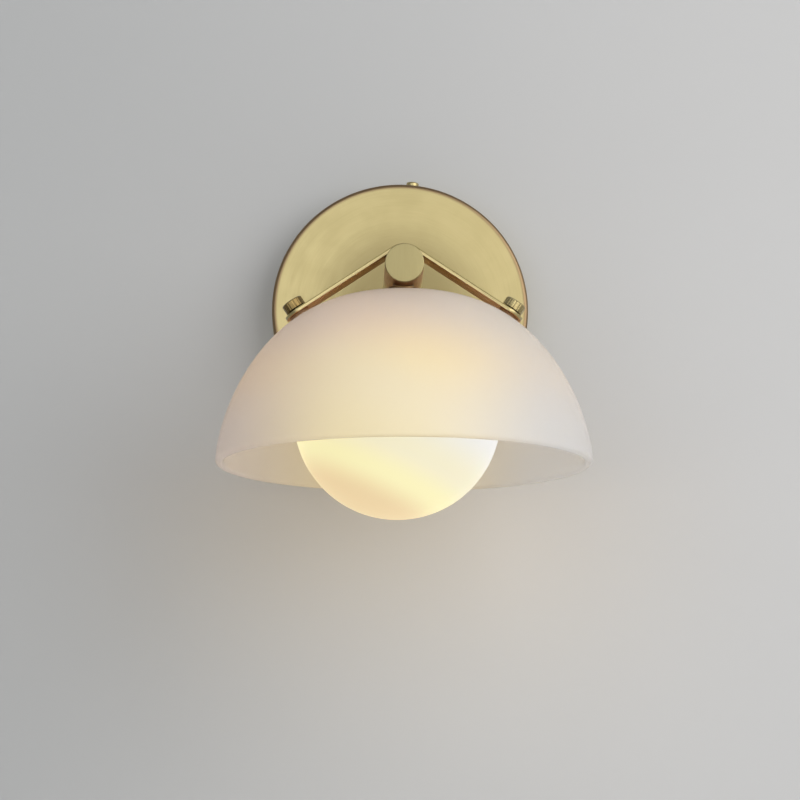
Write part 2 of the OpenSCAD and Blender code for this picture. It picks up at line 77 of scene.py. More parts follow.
MIX_A, MIX_B, MIX_RESULT = 6, 7, 2  # the Mix node's colour sockets
Triple = tuple[float, float, float]
Colour = Triple
Span = tuple[float, float]
Outline = Sequence[Span]
Mesh = bmesh.types.BMesh
Item = bpy.types.Object
Material = bpy.types.Material
Socket = bpy.types.NodeSocket
Tree = bpy.types.NodeTree
# The knobs' brass comes in two copies: a lit one for the right knob and a darker, painted-shade one for the
# left knob.
LEFT_KNOB_SHADED_TONES = ((0.28, 0.20, 0.080), (0.15, 0.10, 0.036))
RIGHT_KNOB_LIT_TONES = ((0.56, 0.47, 0.235), (0.25, 0.195, 0.088))


class Body(Enum):
    """The bodies that pieces ride on."""

    FIXTURE = "fixture"
    LEFT_WASHER = "left_washer"
    LEFT_SCREW = "left_thumbscrew"
    RIGHT_WASHER = "right_washer"
    RIGHT_SCREW = "right_thumbscrew"
    GLOBE = "globe"


class Slot(Enum):
    """The record's material slots named for new pieces, which add takes but does not set."""

    BRASS = "brushed_brass"
    DARK_BRASS = "dark_brass"
    FROSTED = "frosted_glass"
    OPAL = "opal_glass"


class Brush(Enum):
    """How a metal surface was brushed."""

    TURNED = "turned"
    STRAIGHT = "straight"
    STRAP = "strap"


class Measure(Enum):
    """What a zone of a finish is measured by in the piece's own frame: one of its axes, or the radius."""

    ALONG = 0
    ACROSS = 1
    HEIGHT = 2
    RADIUS = 3


# ---------------------------------------------------------------- shader graphs


class Graph:
    """A node tree with short calls for making and joining nodes."""

    def __init__(self, tree: Tree) -> None:
        """Takes over a tree."""
        self.tree = tree

    def put(self, node: bpy.types.Node, inputs: dict) -> None:
        """Sets or links a node's inputs.

        Args:
            node: The node.
            inputs: Values or source sockets by input name or number.
        """
        for name, value in inputs.items():
            socket = node.inputs[name]
            if isinstance(value, Socket):
                self.tree.links.new(value, socket)
            else:
                socket.default_value = (*value, 1.0) if socket.type == "RGBA" else value

    def node(self, kind: str, inputs: dict | None = None, **settings: object) -> bpy.types.Node:
        """Adds a node.

        Args:
            kind: The node's type, without its ShaderNode prefix.
            inputs: Values or source sockets by input name or number.
            **settings: The node's own properties.

        Returns:
            The new node.
        """
        made = self.tree.nodes.new("ShaderNode" + kind)
        for name, value in settings.items():
            setattr(made, name, value)
        self.put(made, inputs or {})
        return made

    def math(self, operation: str, a: object, b: object = 0.0, c: float = 0.0, clamp: bool = False) -> Socket:
        """Adds a Math node."""
        return self.node("Math", {0: a, 1: b, 2: c}, operation=operation, use_clamp=clamp).outputs[0]

    def vector(self, x: object, y: object, z: object) -> Socket:
        """Joins three numbers or sockets into a vector socket."""
        return self.node("CombineXYZ", {0: x, 1: y, 2: z}).outputs[0]

    def length(self, x: object, y: object) -> Socket:
        """Length of a flat vector."""
        return self.node("VectorMath", {0: self.vector(x, y, 0.0)}, operation="LENGTH").outputs["Value"]

    def axes(self, where: Socket) -> Sequence[Socket]:
        """Splits a vector socket into its three components."""
        return self.node("SeparateXYZ", {0: where}).outputs

    def noise(self, vector: Socket, scale: object, detail: float) -> Socket:
        """Adds a noise texture."""
        return self.node("TexNoise", {"Vector": vector, "Scale": scale, "Detail": detail}).outputs[0]

    def span(self, value: object, ends: Span, results: Span = (0.0, 1.0)) -> Socket:
        """Maps a range of values smoothly onto another and holds it at both ends.

        Args:
            value: The number socket to map.
            ends: The values that give each result.
            results: The results.

        Returns:
            The mapped value.
        """
        names = ("From Min", "From Max", "To Min", "To Max")
        limits = {"Value": value} | dict(zip(names, (*ends, *results)))
        return self.node("MapRange", limits, interpolation_type="SMOOTHSTEP").outputs[0]

    def mix(self, factor: object, a: object, b: object) -> Socket:
        """Mixes two colours."""
        return self.node("Mix", {0: factor, MIX_A: a, MIX_B: b}, data_type="RGBA").outputs[MIX_RESULT]

    def ramp(self, value: object, stops: Sequence[tuple[float, Colour]]) -> Socket:
        """Adds a colour ramp.

        Args:
            value: The number that the ramp reads.
            stops: Places and colours, from low to high.

        Returns:
            The ramp's colour.
        """
        made = self.node("ValToRGB", {"Fac": value})
        elements = made.color_ramp.elements
        made.color_ramp.interpolation = "EASE"
        while len(elements) < len(stops):
            elements.new(1.0)
        for element, (place, colour) in zip(elements, stops):
            element.position = place
            element.color = (*colour, 1.0)
        return made.outputs[0]


class Effects:
    """The node groups that several finishes share, each built once."""

    fine_share: float = 0.65
    turned_breadth: float = 0.13
    straight_breadth: float = 0.15
    cloud_breadth: float = 0.02
    contrast: Span = (0.3, 0.7)

    def __init__(self) -> None:
        """Builds every group."""
        self.turned = self._turned()
        self.straight = self._straight()
        self.patina = self._patina()
        self.speckle = self._speckle()

    def _new(self, name: str, inputs: str, outputs: str) -> tuple[Graph, dict, dict]:
        """Starts a group.

        Args:
            name: The group's name.
            inputs: Each input's name and socket type, as name:type.
            outputs: The same for each output.

        Returns:
            The graph, its input sockets and its output sockets, by name.
        """
        tree = bpy.data.node_groups.new(name, "ShaderNodeTree")
        for sockets, way in ((inputs, "INPUT"), (outputs, "OUTPUT")):
            for title, kind in (told.split(":") for told in sockets.split()):
                tree.interface.new_socket(name=title, in_out=way, socket_type="NodeSocket" + kind)
        ends = tree.nodes.new("NodeGroupInput").outputs, tree.nodes.new("NodeGroupOutput").inputs
        sources, sinks = ({socket.name: socket for socket in end if socket.name} for end in ends)
        return Graph(tree), sources, sinks

    def _marks(self, graph: Graph, fine_at: Socket, broad_at: Socket, sink: Socket) -> Tree:
        """Ends a group of brush marks.

        Args:
            graph: The group's graph.
            fine_at: Where the fine marks are read.
            broad_at: Where the broad marks are read.
            sink: The group's output.

        Returns:
            The group.
        """
        fine = graph.math("MULTIPLY", graph.noise(fine_at, 1.0, 3.0), self.fine_share)
        broad = graph.math("MULTIPLY", graph.noise(broad_at, 1.0, 1.0), 1.0 - self.fine_share)
        graph.tree.links.new(graph.span(graph.math("ADD", fine, broad), self.contrast), sink)
        return graph.tree

    def _turned(self) -> Tree:
        """Marks that run round the local Z axis, as a lathe or a turning brush leaves them."""
        told = "Vector:Vector Fineness:Float Sweep:Float"
        graph, source, sink = self._new("turned_marks", told, "Marks:Float")
        x, y, z = graph.axes(source["Vector"])
        ray = graph.node("VectorMath", {0: graph.vector(x, y, 0.0)}, operation="NORMALIZE").outputs[0]
        sweep_x, sweep_y = (graph.math("MULTIPLY", side, source["Sweep"]) for side in graph.axes(ray)[:2])
        across = graph.math("MULTIPLY", graph.math("ADD", graph.length(x, y), z), source["Fineness"])
        fine_at = graph.vector(sweep_x, sweep_y, across)
        broad_at = graph.vector(sweep_y, sweep_x, graph.math("MULTIPLY", across, self.turned_breadth))
        return self._marks(graph, fine_at, broad_at, sink["Marks"])

    def _straight(self) -> Tree:
        """Marks that run along the local X axis, as a straight brush leaves them."""
        told = "Vector:Vector Fineness:Float Length:Float"
        graph, source, sink = self._new("straight_marks", told, "Marks:Float")
        x, *sides = graph.axes(source["Vector"])
        along = graph.math("DIVIDE", x, source["Length"])
        across = [graph.math("MULTIPLY", side, source["Fineness"]) for side in sides]
        coarse = [graph.math("MULTIPLY", value, self.straight_breadth) for value in across]
        return self._marks(graph, graph.vector(along, *across), graph.vector(along, *coarse), sink["Marks"])

    def _patina(self) -> Tree:
        """Two tones of one finish, in soft clouds and along its marks."""
        told = "Vector:Vector Scale:Float Marks:Float Light:Color Dark:Color"
        graph, source, sink = self._new("patina", told, "Colour:Color")
        clouds = graph.noise(source["Vector"], source["Scale"], 3.0)
        cloudy = graph.span(clouds, (0.35, 0.65), (0.0, 0.6))
        dark = graph.math("ADD", cloudy, graph.math("MULTIPLY", source["Marks"], 0.4), clamp=True)
        graph.tree.links.new(graph.mix(dark, source["Light"], source["Dark"]), sink["Colour"])
        return graph.tree

    def _speckle(self) -> Tree:
        """Fine even grain, for etched glass, mouldings and paint."""
        graph, source, sink = self._new("speckle", "Vector:Vector Fineness:Float", "Grain:Float Clouds:Float")
        grain = graph.noise(source["Vector"], source["Fineness"], 2.0)
        graph.tree.links.new(graph.span(grain, (0.25, 0.75)), sink["Grain"])
        coarse = graph.math("MULTIPLY", source["Fineness"], self.cloud_breadth)
        clouds = graph.noise(source["Vector"], coarse, 1.0)
        graph.tree.links.new(graph.span(clouds, self.contrast), sink["Clouds"])
        return graph.tree


class Coat(Graph):
    """The node tree of one material, with its shader and the shared effects."""

    def __init__(self, name: str, effects: Effects) -> None:
        """Starts a material with a bare Principled shader.

        Args:
            name: The material's name.
            effects: The shared node groups.
        """
        self.material = bpy.data.materials.new(name)
        self.material.use_nodes = True
        super().__init__(self.material.node_tree)
        self.effects = effects
        self.shader = self.tree.nodes["Principled BSDF"]
        self.where = self.node("TexCoord").outputs["Object"]

    def speckle(self, fineness: float) -> Sequence[Socket]:
        """Fine even grain and soft clouds all over."""
        reads = {"Vector": self.where, "Fineness": fineness}
        return self.node("Group", reads, node_tree=self.effects.speckle).outputs

    def patina(self, where: Socket, scale: float, marks: Socket, light: Colour, dark: Colour) -> Socket:
        """Two tones of one finish."""
        inputs = {"Vector": where, "Scale": scale, "Marks": marks, "Light": light, "Dark": dark}
        return self.node("Group", inputs, node_tree=self.effects.patina).outputs[0]

    def bump(self, height: Socket, depth: float, strength: float) -> Socket:
        """Turns heights into a normal."""
        return self.node("Bump", {"Height": height, "Distance": depth, "Strength": strength}).outputs[0]


# ---------------------------------------------------------------- finishes


@dataclass(frozen=True)
class PaintedZone:
    """A stretch of a piece with a painted tone of light or shade, which comes in between two readings of one
    measure.

    Where it lies within another zone, it shows only as far as that zone does.
    """

    measure: Measure
    starts: float
    full: float
    tone: Colour
    within: "PaintedZone | None" = None

    def mask(self, graph: Graph, where: Socket) -> Socket:
        """Works out how fully each point lies in the zone.

        Args:
            graph: The material's graph.
            where: The piece's own coordinates.

        Returns:
            A share from 0 to 1.
        """
        axes = graph.axes(where)
        by_radius = self.measure is Measure.RADIUS
        reading = graph.length(axes[0], axes[1]) if by_radius else axes[self.measure.value]
        share = graph.span(reading, (self.starts, self.full))
        return graph.math("MULTIPLY", share, self.within.mask(graph, where)) if self.within else share

    def blend(self, graph: Graph, where: Socket, colour: Socket) -> Socket:
        """Lays the tone over a colour."""
        return graph.mix(self.mask(graph, where), colour, self.tone)


@dataclass(frozen=True)
class Finish:
    """A named finish."""

    name: str

    def material(self, effects: Effects) -> Material:
        """Builds the finish.

        Args:
            effects: The shared node groups.

        Returns:
            The material.
        """
        coat = Coat(self.name, effects)
        self._lay(coat)
        return coat.material

    def _lay(self, coat: Coat) -> None:
        """Fills in the material; each finish has its own way."""
        raise NotImplementedError


@dataclass(frozen=True)
class Brass(Finish):
    """Satin brass under clear lacquer, brushed one of three ways."""

    place: Matrix
    light: Colour = (0.515, 0.432, 0.215)
    dark: Colour = (0.465, 0.386, 0.188)
    roughness: float = 0.32
    marks_depth: float = 0.02 * MM
    brush: Brush = Brush.TURNED
    strap_fall: float = 0.0
    zones: tuple[PaintedZone, ...] = ()
    rougher: float = 0.12
    cloud_scale: float = 55.0
    turned_marks: Span = (2600.0, 3.0)
    straight_marks: Span = (3200.0, 0.012)

    def _lay(self, coat: Coat) -> None:
        """Lays the brass and its zones of painted shade, reflection and highlight.

        Args:
            coat: The material's graph.
        """
        back = self.place.inverted()
        own = {"Vector": coat.where, "Location": back.to_translation(), "Rotation": back.to_euler("XYZ")}
        where = coat.node("Mapping", own).outputs[0]
        if self.brush is Brush.TURNED:
            group, names, told = coat.effects.turned, ("Fineness", "Sweep"), self.turned_marks
        else:
            if self.brush is Brush.STRAP:
                where = self._along_strap(coat, where)
            group, names, told = coat.effects.straight, ("Fineness", "Length"), self.straight_marks
        marks = coat.node("Group", {"Vector": where} | dict(zip(names, told)), node_tree=group).outputs[0]
        colour = coat.patina(where, self.cloud_scale, marks, self.light, self.dark)
        for zone in self.zones:
            colour = zone.blend(coat, where, colour)
        rough = coat.math("MULTIPLY_ADD", marks, self.rougher, self.roughness)
        bump = coat.bump(marks, self.marks_depth, 0.5)
        coat.put(coat.shader, {"Base Color": colour, "Roughness": rough, "Normal": bump, "Metallic": 1.0})

    def _along_strap(self, graph: Graph, where: Socket) -> Socket:
        """Turns coordinates so that X runs down each of the strap's arms and Z out through its thickness.

        Args:
            graph: The material's graph.
            where: Coordinates about the arm's axis.

        Returns:
            The turned coordinates.
        """
        x, across, z = graph.axes(where)
        out = graph.math("ABSOLUTE", x)
        cos, sin = math.cos(self.strap_fall), math.sin(self.strap_fall)
        along = graph.math("SUBTRACT", graph.math("MULTIPLY", out, cos), graph.math("MULTIPLY", z, sin))
        away = graph.math("ADD", graph.math("MULTIPLY", out, sin), graph.math("MULTIPLY", z, cos))
        return graph.vector(along, across, graph.length(graph.math("MINIMUM", along, 0.0), away))


@dataclass(frozen=True)
class Steel(Finish):
    """Zinc plated steel with a faint spangle."""

    name: str = "zinc_steel"
    light: Colour = (0.62, 0.63, 0.65)
    dark: Colour = (0.47, 0.48, 0.50)
    fineness: float = 1800.0
    cloud_scale: float = 140.0

    def _lay(self, coat: Coat) -> None:
        """Lays the steel.

        Args:
            coat: The material's graph.
        """
        grain, clouds = coat.speckle(self.fineness)
        colour = coat.patina(coat.where, self.cloud_scale, grain, self.light, self.dark)
        rough = coat.span(clouds, (0.0, 1.0), (0.32, 0.46))
        coat.put(coat.shader, {"Base Color": colour, "Roughness": rough, "Metallic": 1.0})


@dataclass(frozen=True)
class Moulded(Finish):
    """A matt or satin body colour with fine grain: rubber, silicone, nylon, ceramic, insulation, dye."""

    colour: Colour
    shade: Colour
    roughness: float = 0.55
    fineness: float = 2500.0
    grain_depth: float = 0.02 * MM
    cloud_scale: float = 120.0

    def _lay(self, coat: Coat) -> None:
        """Lays the body colour.

        Args:
            coat: The material's graph.
        """
        grain, _ = coat.speckle(self.fineness)
        colour = coat.patina(coat.where, self.cloud_scale, grain, self.colour, self.shade)
        rough = coat.span(grain, (0.0, 1.0), (self.roughness - 0.05, self.roughness + 0.08))
        bump = coat.bump(grain, self.grain_depth, 0.4)
        coat.put(coat.shader, {"Base Color": colour, "Roughness": rough, "Normal": bump})


SILICONE = Moulded("silicone", (0.80, 0.80, 0.77), (0.72, 0.72, 0.69), roughness=0.4)


@dataclass(frozen=True)
class FrostedGlass(Finish):
    """Satin white glass, etched on both faces, with the globe's light painted into it.

    Its emission is painted glow of the globe through the glass, and a painted pool of warmer, brighter light
    lies low down on the front and the back. The glass leans from a warmer white on the left to a cooler one
    on the right, which is painted light too.
    """

    name: str = "frosted_glass"
    crown_z: float = -0.0117
    rim_z: float = -0.0937
    body: Colour = (0.80, 0.768, 0.778)
    # Painted light: the glass turns a cooler white towards the right.
    cool_lit_body: Colour = (0.765, 0.792, 0.825)
    cool_lit_from: Span = (-0.03, 0.07)
    # Painted pool of light: a warmer, brighter patch low down on the front and the back.
    lit_body: Colour = (0.78, 0.775, 0.675)
    # Painted glow of the globe's light in the glass: low, middle and high.
    glow_low: Colour = (0.066, 0.050, 0.036)
    glow_middle: Colour = (0.085, 0.050, 0.018)
    glow_high: Colour = (0.065, 0.040, 0.016)
    lit_glow: Colour = (0.125, 0.078, 0.022)
    lit_x: float = -0.010
    lit_beside: Span = (0.080, 0.012)
    lit_below: Span = (-0.028, -0.060)
    glow: float = 1.0
    transmission: float = 0.68
    refraction: float = 1.4
    fineness: float = 2200.0
    grain_depth: float = 0.01 * MM

    def _lay(self, coat: Coat) -> None:
        """Lays the glass and its painted glow.

        Args:
            coat: The material's graph.
        """
        side, _, height = coat.axes(coat.where)
        grain, clouds = coat.speckle(self.fineness)
        # Mask of the painted pool of light: low down, and near the middle across X, so on the front and the
        # back.
        from_middle = coat.math("ABSOLUTE", coat.math("SUBTRACT", side, self.lit_x))
        beside, below = coat.span(from_middle, self.lit_beside), coat.span(height, self.lit_below)
        lit_patch = coat.math("MULTIPLY", beside, below)
        cloudy = coat.span(clouds, (0.0, 1.0), (0.0, 0.5))
        tint = coat.mix(cloudy, self.body, tuple(0.97 * c for c in self.body))
        # Painted light: a cooler white towards the right.
        tint = coat.mix(coat.span(side, self.cool_lit_from), tint, self.cool_lit_body)
        # The emission is painted glow, from the rim up to the crown.
        share = coat.span(height, (self.rim_z, self.crown_z))
        lit = coat.ramp(share, ((0.0, self.glow_low), (0.5, self.glow_middle), (1.0, self.glow_high)))
        looks = {
            "Base Color": coat.mix(lit_patch, tint, self.lit_body),
            "Roughness": coat.span(grain, (0.0, 1.0), (0.58, 0.68)),
            "Normal": coat.bump(grain, self.grain_depth, 0.4),
            "Emission Color": coat.mix(lit_patch, lit, self.lit_glow),
            "Emission Strength": self.glow,
            "Transmission Weight": self.transmission,
            "IOR": self.refraction,
        }
        coat.put(coat.shader, looks)


@dataclass(frozen=True)
class OpalGlass(Finish):
    """Opal glass that is lit from inside: warm low down, paler further up, and warmest under the dome.

    Its emission stands for the lamp inside, and its paler side, up and to the right, is also painted light
    from the studio lamps.
    """

    centre: Vector
    radius: float
    body: Colour = (0.20, 0.20, 0.19)
    warm: Colour = (0.72, 0.53, 0.26)
    middle: Colour = (0.82, 0.745, 0.38)
    soft: Colour = (0.75, 0.69, 0.47)
    pale: Colour = (0.72, 0.715, 0.70)
    hidden: Colour = (0.98, 0.72, 0.30)
    glow: float = 1.0
    stops: tuple[float, ...] = (0.0, 0.13, 0.27, 0.53, 0.8)
    # Painted light in part: the glow turns paler up and to the right, towards the studio lamps.
    pale_towards: Triple = (0.40, 0.0, 0.92)
    fineness: float = 900.0

    def _lay(self, coat: Coat) -> None:
        """Lays the glass and its glow.

        Args:
            coat: The material's graph.
        """
        ends = {0: coat.where, 1: self.centre}
        from_centre = coat.node("VectorMath", ends, operation="SUBTRACT").outputs[0]
        towards = Vector(self.pale_towards) / self.radius
        side = coat.node("VectorMath", {0: from_centre, 1: towards}, operation="DOT_PRODUCT").outputs["Value"]
        share = coat.node("MapRange", {"Value": side, "From Min": -0.9, "From Max": 1.0}).outputs[0]
        stops = list(zip(self.stops, (self.warm, self.middle, self.soft, self.pale, self.hidden)))
        _, clouds = coat.speckle(self.fineness)
        looks = {
            "Base Color": coat.mix(clouds, self.body, tuple(0.96 * c for c in self.body)),
            "Roughness": coat.span(clouds, (0.0, 1.0), (0.28, 0.36)),
            "Emission Color": coat.ramp(share, stops),
            "Emission Strength": self.glow,
        }
        coat.put(coat.shader, looks)


@dataclass(frozen=True)
class Paint(Finish):
    """Matt paint for the wall and the floor, shown only from its front.

    Its tone leans from the left colour to the right one across its reach. On the wall this lean is painted
    light, darker on the left and lighter on the right.
    """

    left: Colour
    right: Colour
    reach: float = 0.26
    fineness: float = 260.0
    grain_depth: float = 0.1 * MM
    roughness: float = 0.9
    gloss: float = 0.2

    def _lay(self, coat: Coat) -> None:
        """Lays the paint.

        Args:
            coat: The material's graph.
        """
        grain, clouds = coat.speckle(self.fineness)
        cloudy = coat.span(clouds, (0.0, 1.0), (-0.02, 0.02))
        # The lean from left to right, which on the wall is painted light.
        painted_lean = coat.span(coat.axes(coat.where)[0], (-self.reach, self.reach))
        looks = {
            "Base Color": coat.mix(coat.math("ADD", painted_lean, cloudy, clamp=True), self.left, self.right),
            "Normal": coat.bump(grain, self.grain_depth, 0.1),
            "Roughness": self.roughness,
            "Specular IOR Level": self.gloss,
        }
        coat.put(coat.shader, looks)
        behind = coat.node("NewGeometry").outputs["Backfacing"]
        clear = coat.node("BsdfTransparent").outputs[0]
        shown = coat.node("MixShader", {0: behind, 1: coat.shader.outputs[0], 2: clear})
        coat.tree.links.new(shown.outputs[0], coat.tree.nodes["Material Output"].inputs["Surface"])


# ---------------------------------------------------------------- shapes


def turn(outline: Outline, closed: bool = True, segments: int = 128) -> Mesh:
    """Spins an outline round the local Z axis.

    Args:
        outline: Radius and height of each point, in metres.
        closed: Whether the last point joins the first.
        segments: Steps round the axis.

    Returns:
        The turned mesh.
    """
    mesh = bmesh.new()
    points = [mesh.verts.new((radius, 0.0, height)) for radius, height in outline]
    pairs = list(zip(points, points[1:])) + ([(points[-1], points[0])] if closed else [])
    edges = [mesh.edges.new(pair) for pair in pairs]
    about = {"cent": (0, 0, 0), "axis": (0, 0, 1), "angle": FULL_TURN}
    bmesh.ops.spin(mesh, geom=points + edges, steps=segments, use_merge=True, **about)
    bmesh.ops.remove_doubles(mesh, verts=mesh.verts, dist=1e-7)
    bmesh.ops.dissolve_degenerate(mesh, dist=1e-8, edges=mesh.edges)
    bmesh.ops.recalc_face_normals(mesh, faces=mesh.faces)
    return mesh


def soften(mesh: Mesh, width: float, least: float = 40.0, segments: int = 3) -> None:
    """Rounds every edge that is sharper than an angle.

    Args:
        mesh: The mesh to change.
        width: Width of the rounding, in metres.
        least: Least angle between the faces, in degrees.
        segments: Steps across the rounding.
    """
    limit = math.radians(least)
    sharp = [edge for edge in mesh.edges if len(edge.link_faces) == 2 and edge.calc_face_angle() > limit]
    shape = {"affect": "EDGES", "segments": segments, "profile": 0.5, "material": -1, "clamp_overlap": True}
    bmesh.ops.bevel(mesh, geom=sharp, offset=width, **shape)


def arc(centre: Span, radius: float, start: float, end: float, steps: int) -> list[Span]:
    """Points along an arc of an outline."""
    angles = [math.radians(start + (end - start) * i / steps) for i in range(steps + 1)]
    return [(centre[0] + radius * math.cos(a), centre[1] + radius * math.sin(a)) for a in angles]


def linked(name: str, data: bpy.types.ID) -> Item:
    """Makes an object and links it to the scene.

    Args:
        name: The object's name.
        data: Its mesh, light or camera.

    Returns:
        The object.
    """
    made = bpy.data.objects.new(name, data)
    bpy.context.scene.collection.objects.link(made)
    return made


class Workshop:
    """What every sub-assembly needs: the frame, the shared effects and the finishes made so far."""

    def __init__(self, frame: dict) -> None:
        """Reads the frame.
        """
        self.nodes = frame["nodes"]
        self.joints = {joint["name"]: joint for joint in frame["joints"]}
        self.effects = Effects()
        self._made: dict[str, Material] = {}

    def finish(self, recipe: Finish) -> Material:
        """Gives a recipe's material, built on first use.

        Args:
            recipe: The finish.

        Returns:
            Its material.
        """
        if recipe.name not in self._made:
            self._made[recipe.name] = recipe.material(self.effects)
        return self._made[recipe.name]

    def dress(self, recipe: Finish, *nodes: str) -> None:
        """Gives carried-over nodes a finish.

        Args:
            recipe: The finish.
            *nodes: The nodes' names.
        """
        material = self.finish(recipe)
        for name in nodes:
            data = self.nodes[name].data
            data.materials.clear()
            data.materials.append(material)
            LOG.info("%s: dressed in %s", name, recipe.name)

    def show(self, name: str, mesh: Mesh, recipe: Finish) -> Item:
        """Makes an object of a mesh and links it to the scene.

        Args:
            name: The object's name.
            mesh: Its mesh, which is used up.
            recipe: Its finish.

        Returns:
            The object.
        """
        data = bpy.data.meshes.new(name)
        mesh.to_mesh(data)
        mesh.free()
        data.materials.append(self.finish(recipe))
        return linked(name, data)

    def add(
        self,
        name: str,
        mesh: Mesh,
        place: Matrix,
        recipe: Finish,
        *stands_for: str,
        body: Body = Body.FIXTURE,
        slot: Slot = Slot.BRASS,
        crease: float = 32.0,
    ) -> None:
        """Makes a finished piece of a mesh, at the origin with its place in its vertices.

        Args:
            name: The piece's name.
            mesh: Its mesh, which is used up.
            place: Where the mesh goes.
            recipe: Its finish.
            *stands_for: The nodes that it replaces.
            body: What it rides on.
            slot: The record's slot for its finish; not used.
            crease: Angle from which an edge shows, in degrees.
        """
        bmesh.ops.transform(mesh, matrix=place, verts=mesh.verts)
        limit = math.radians(crease)
        for face in mesh.faces:
            face.smooth = True
        for edge in mesh.edges:
            edge.smooth = len(edge.link_faces) == 2 and edge.calc_face_angle(0.0) < limit
        piece = self.show(name, mesh, recipe)
        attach(piece, body.value)
        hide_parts(*stands_for)
        LOG.info("%s: %d faces, rides on %s", name, len(piece.data.polygons), body.value)

    def axis_frame(self, joint: str) -> Matrix:
        """The frame whose Z axis is a joint's, turned about Y alone.

        Args:
            joint: The joint's name.

        Returns:
            The frame.
        """
        told = self.joints[joint]
        axis = Vector(told["axis"])
        lean = math.atan2(axis.x, axis.z)
        return Matrix.Translation(told["pos_m"]) @ Matrix.Rotation(lean, 4, "Y")


# ---------------------------------------------------------------- sub-assemblies


@dataclass
class Canopy:
    """The round cover, its side screws, and the steel plate behind it."""

    shop: Workshop
    sheet: float = 1.2 * MM
    edge: float = 1.9 * MM
    arm_hole: float = 5.1 * MM
    # Painted shade: the cover's face darkens towards the middle.
    middle_shade_tone: Colour = (0.29, 0.236, 0.112)
    # Painted shade and dark painted reflection on the rounded front edge.
    edge_shade_tone: Colour = (0.27, 0.185, 0.10)

    def __post_init__(self) -> None:
        """Reads the cover's size."""
        low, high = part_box("canopy")
        self.radius = 0.5 * (high.x - low.x)
        self.depth = high.y - low.y
        self.out = Matrix.Rotation(math.pi / 2, 4, "X")

    def build(self) -> None:
        """Turns the cover and dresses what it holds."""
        front, rim, inner = self.depth, self.radius, self.radius - self.sheet
        # The rounded front edge gets painted shade and dark painted reflection, kept to the part near the
        # front.
        near_front = PaintedZone(Measure.HEIGHT, front - 4.5 * MM, front - 2.5 * MM, self.edge_shade_tone)
        zones = (
            # Painted shade, darker towards the middle of the face.
            PaintedZone(Measure.RADIUS, 0.8 * rim, 0.3 * rim, self.middle_shade_tone),
            PaintedZone(Measure.RADIUS, rim - 2.9 * MM, rim - 1.4 * MM, self.edge_shade_tone, within=near_front),
        )
        inner_edge = self.edge - self.sheet
        outline = [(self.arm_hole, front), *arc((rim - self.edge, front - self.edge), self.edge, 90, 0, 10)]
        outline += [(rim, 0.0), (inner, 0.0)]
        outline += arc((inner - inner_edge, front - self.sheet - inner_edge), inner_edge, 0, 90, 5)
        outline += [(self.arm_hole, front - self.sheet)]
        brass = Brass("canopy_brass", self.out, zones=zones)
        cover = turn(outline, segments=192)
        self.shop.add("canopy_cover", cover, self.out, brass, "canopy")
        screw = Brass("side_screw_brass", self.shop.axis_frame("upper_canopy_screw_turn"))
        self.shop.dress(screw, "canopy_screw_upper", "canopy_screw_lower")
        self.shop.dress(Steel(), "wall_plate", "arm_nipple", "canopy_lock_washer", "canopy_lock_nut")
        green = Moulded("green_dye", (0.10, 0.32, 0.13), (0.07, 0.24, 0.10), roughness=0.35)
        self.shop.dress(green, "ground_screw")


@dataclass
class Arm:
    """The round arm with its face, and the blocks inside it."""

    shop: Workshop
    edge: float = 0.35 * MM
    wall: float = 1.2 * MM
    spigot_wall: float = 1.5 * MM
    spigot_depth: float = 4 * MM
    face_tones: tuple[Colour, Colour] = ((0.38, 0.324, 0.160), (0.385, 0.326, 0.160))
    # Painted shade and a warm painted reflection of the dome on the tube's underside.
    underside_shade_tone: Colour = (0.31, 0.125, 0.038)

    def __post_init__(self) -> None:
        """Reads the arm's size."""
        self.tube_low, self.tube_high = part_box("arm_tube")
        self.face_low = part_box("arm_end_cap")[0]
        self.radius = 0.5 * (self.tube_high.x - self.tube_low.x)

    def build(self) -> None:
        """Turns the end cap and dresses the tube."""
        out = Matrix.Rotation(math.pi / 2, 4, "X")
        rear, front = -self.tube_low.y, -self.face_low.y
        bore, spigot = self.radius - self.wall, rear - self.spigot_depth
        inside = bore - self.spigot_wall
        outline = [(0.0, front), *arc((self.radius - self.edge, front - self.edge), self.edge, 90, 0, 6)]
        outline += [(self.radius, rear), (bore, rear), (bore, spigot)]
        outline += [(inside, spigot), (inside, rear), (0.0, rear)]
        upright = Matrix.Rotation(math.pi / 2, 4, "Y")
        brass = Brass("arm_face_brass", upright, *self.face_tones, 0.42, 0.004 * MM, Brush.STRAIGHT)
        face = turn(outline, closed=False, segments=96)
        self.shop.add("arm_face", face, out, brass, "arm_end_cap")
        # The tube's underside above the dome gets painted shade and a warm painted reflection of the dome.
        over_dome = PaintedZone(Measure.ALONG, -95 * MM, -118 * MM, self.underside_shade_tone)
        below = PaintedZone(Measure.HEIGHT, 0.3 * self.radius, -0.3 * self.radius, self.underside_shade_tone, within=over_dome)
        along = Brass("arm_brass", Matrix.Rotation(math.pi / 2, 4, "Z"), brush=Brush.STRAIGHT, zones=(below,))
        self.shop.dress(along, "arm_tube")
        plain = Brass("plain_brass", out, (0.55, 0.42, 0.22), (0.46, 0.34, 0.17), roughness=0.42)
        self.shop.dress(plain, "arm_rear_bush", "stem_block")


